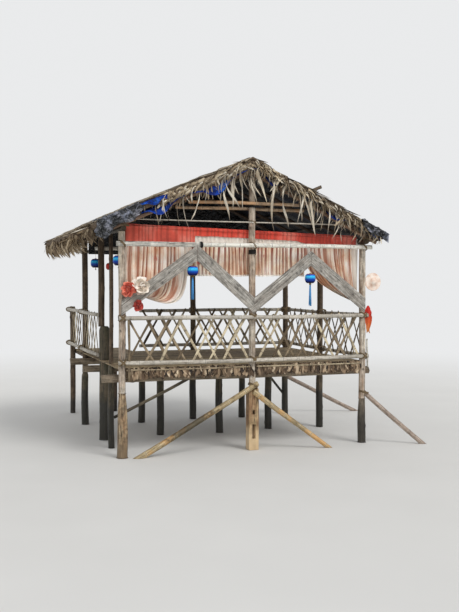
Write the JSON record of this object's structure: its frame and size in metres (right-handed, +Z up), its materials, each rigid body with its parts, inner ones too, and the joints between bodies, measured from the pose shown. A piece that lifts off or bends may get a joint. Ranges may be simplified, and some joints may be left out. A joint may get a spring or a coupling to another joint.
{
  "type": "open stilt hut with palm thatch roof",
  "caption": "Open hut of logs, bamboo and palm thatch on stilts, with lattice rails, zigzag boards and curtains under a gable roof, and a short walkway behind.",
  "frame": {"origin": "centre of the foot of the middle stilt of the middle row, on the level where the stilts meet the water", "axes": "+X to the right along the gable front, +Y from the front to the rear, +Z up"},
  "size_m": [7.2767, 6.2546, 5.2578],
  "materials": {
    "peeled_log": "weathered round log with the bark off, grey and checked",
    "squared_timber": "old squared timber, grey-brown, with mortises",
    "wet_log": "dark wet log with a tide line",
    "dark_log": "brown round pole in shade",
    "weathered_board": "silver-grey sawn board, rough",
    "rail_bamboo": "aged bamboo pole with nodes",
    "brace_bamboo": "bamboo brace, brown below and tan above",
    "lattice_slat": "split bamboo slat, dull",
    "split_bamboo": "split bamboo floor, worn",
    "bark_mat": "rough bark and leaf mat",
    "palm_thatch": "dry palm leaf thatch, brown-grey",
    "blue_tarpaulin": "woven blue tarpaulin",
    "black_sheeting": "black polythene sheet",
    "cream_cloth": "thin cream cotton with red and orange stripes",
    "red_cloth": "faded red cotton",
    "lantern_silk": "blue silk on a wire frame",
    "plaited_straw": "plaited straw",
    "rosette_cloth": "bunched cream, orange and red cloth"
  },
  "bodies": {
    "root": {"front_left_stilt": "peeled_log", "front_middle_stilt": "squared_timber", "front_right_stilt": "wet_log", "inner_stilts": "wet_log", "front_braces": "brace_bamboo", "outriggers": "brace_bamboo", "under_braces": "wet_log", "floor_girders": "dark_log", "floor_joists": "dark_log", "floor_deck": "split_bamboo", "floor_edge_mat": "bark_mat", "walkway": "dark_log", "front_left_post": "peeled_log", "front_middle_post": "peeled_log", "front_right_post": "peeled_log", "side_posts": "dark_log", "rear_posts": "dark_log", "front_tie_beam": "weathered_board", "tie_poles": "rail_bamboo", "wall_plates": "dark_log", "front_rails": "rail_bamboo", "side_rails": "rail_bamboo", "rear_rails": "rail_bamboo", "front_lattice_left": "lattice_slat", "front_lattice_right": "lattice_slat", "right_lattice": "lattice_slat", "rear_lattice": "lattice_slat", "left_lattice": "lattice_slat", "zigzag_boards": "weathered_board", "ridge_pole": "dark_log", "rafters": "rail_bamboo", "purlins": "rail_bamboo", "collar_poles": "rail_bamboo", "thatch_left": "palm_thatch", "thatch_right": "palm_thatch", "thatch_strip": "palm_thatch", "ridge_cap": "palm_thatch", "roof_tarp": "blue_tarpaulin", "black_sheets": "black_sheeting", "curtain_rod": "dark_log", "curtain_panel": "cream_cloth", "side_drapes": "cream_cloth", "red_valance": "red_cloth", "lanterns": "lantern_silk", "curtain_rosettes": "rosette_cloth", "straw_hat": "plaited_straw", "ribbon": "red_cloth"}
  },
  "joints": []
}
